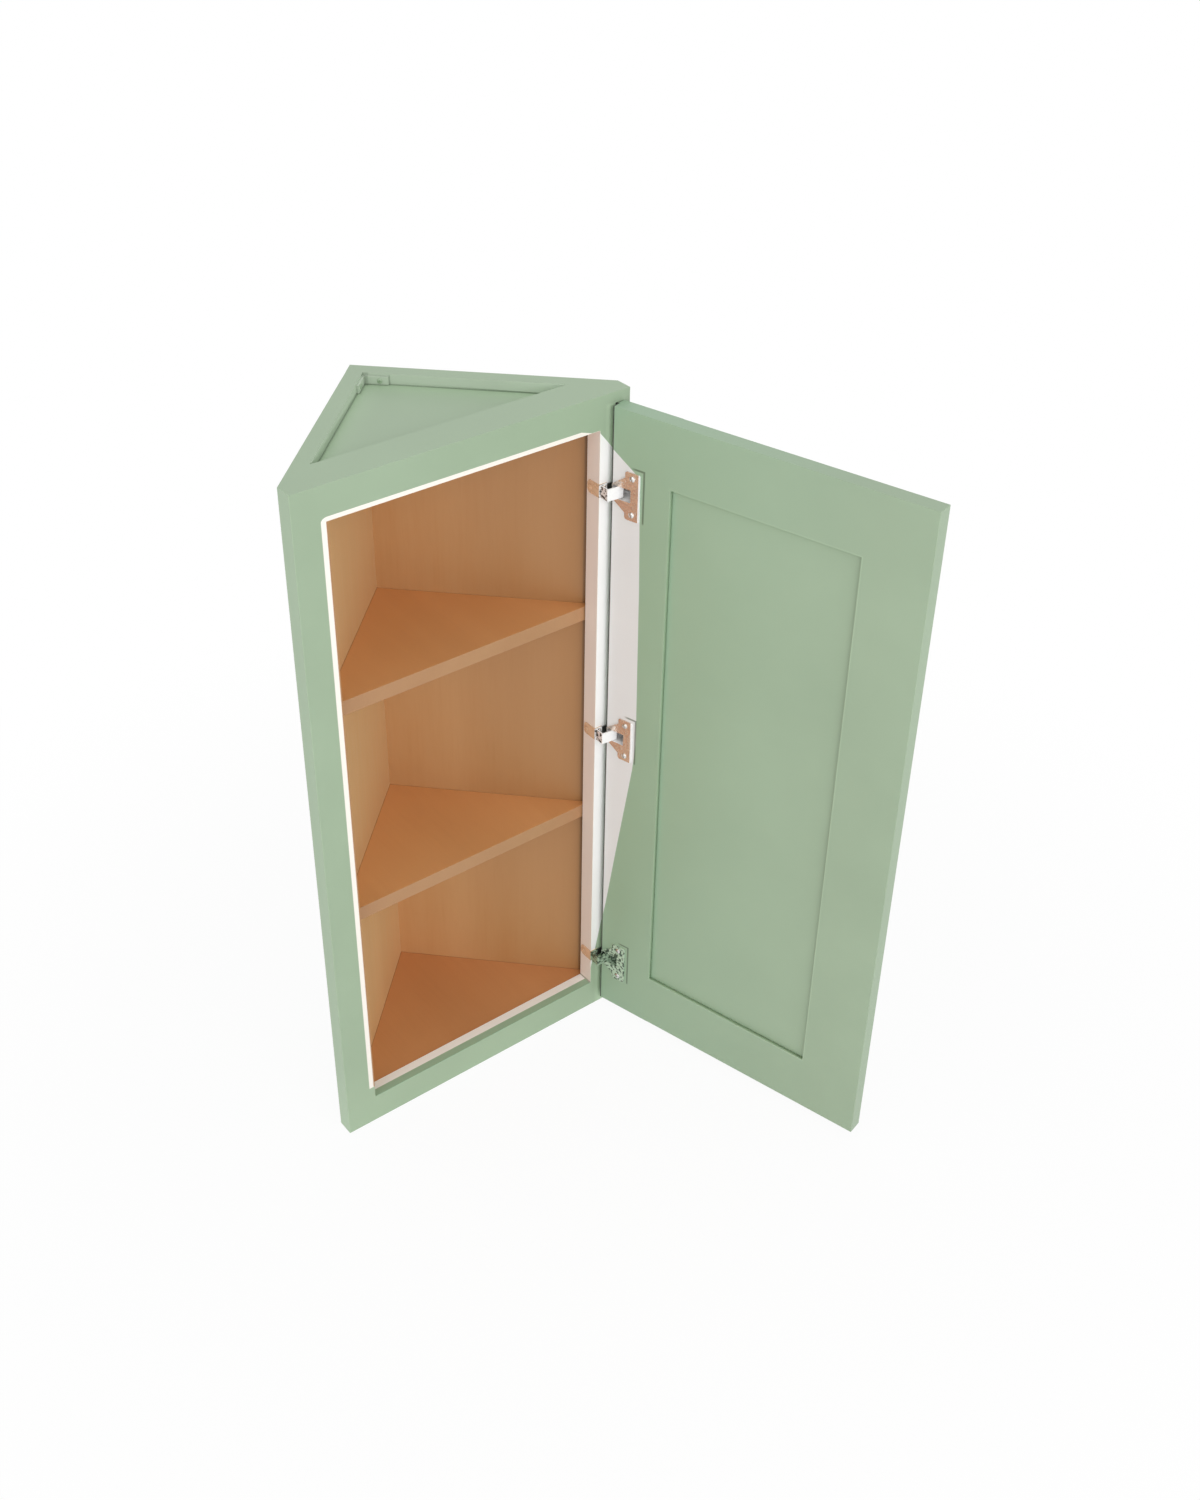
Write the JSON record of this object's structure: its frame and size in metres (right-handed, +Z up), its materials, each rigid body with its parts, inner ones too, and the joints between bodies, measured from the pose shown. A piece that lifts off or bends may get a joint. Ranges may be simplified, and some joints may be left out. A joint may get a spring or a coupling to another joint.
{
  "type": "angled end wall cabinet",
  "caption": "Three-cornered kitchen wall cabinet with an angled face frame, fixed shelves and a hinged recessed-panel door shown open.",
  "frame": {"origin": "the bottom back corner, where the outer faces of the back panel and the side panel meet at floor level of the cabinet", "axes": "+X along the wall behind the back panel, away from the corner; +Y into that wall, so -Y runs along the side panel towards the user; +Z up. The face stands at 45 degrees between +X and -Y"},
  "size_m": [0.6604, 0.3205, 0.9144],
  "materials": {
    "sage_paint": "satin sage green paint on wood",
    "brown_wood": "warm brown woodgrain, satin",
    "dowel_wood": "bare wood",
    "hinge_chrome": "bright plated",
    "screw_steel": "zinc plated"
  },
  "bodies": {
    "cabinet": {"back_panel": "brown_wood", "side_panel": "brown_wood", "top_panel": "brown_wood", "bottom_panel": "brown_wood", "upper_shelf": "brown_wood", "lower_shelf": "brown_wood", "top_cleat": "brown_wood", "frame_hinge_stile": "sage_paint", "frame_latch_stile": "sage_paint", "frame_top_rail": "sage_paint", "frame_bottom_rail": "sage_paint", "frame_dowels": "dowel_wood", "carcass_dowels": "dowel_wood", "carcass_screws": "screw_steel", "corner_brace": "screw_steel", "corner_brace_screws": "screw_steel", "top_hinge_bracket": "hinge_chrome", "top_hinge_arm": "hinge_chrome", "middle_hinge_bracket": "hinge_chrome", "middle_hinge_arm": "hinge_chrome", "bottom_hinge_bracket": "hinge_chrome", "bottom_hinge_arm": "hinge_chrome", "hinge_rivets": "screw_steel", "hinge_frame_screws": "screw_steel", "hinge_adjusters": "screw_steel"},
    "door": {"door_hinge_stile": "sage_paint", "door_latch_stile": "sage_paint", "door_top_rail": "sage_paint", "door_bottom_rail": "sage_paint", "door_panel": "sage_paint", "top_hinge_cup": "hinge_chrome", "top_hinge_pin": "screw_steel", "middle_hinge_cup": "hinge_chrome", "middle_hinge_pin": "screw_steel", "bottom_hinge_cup": "hinge_chrome", "bottom_hinge_pin": "screw_steel", "hinge_springs": "screw_steel", "hinge_cup_screws": "screw_steel"}
  },
  "joints": [
    {"name": "door_hinge", "type": "hinge", "parent": "cabinet", "child": "door", "pos_m": [0.31216, -0.03705, 0.4572], "axis": [0, 0, 1], "range_deg": [-105, 0]}
  ]
}
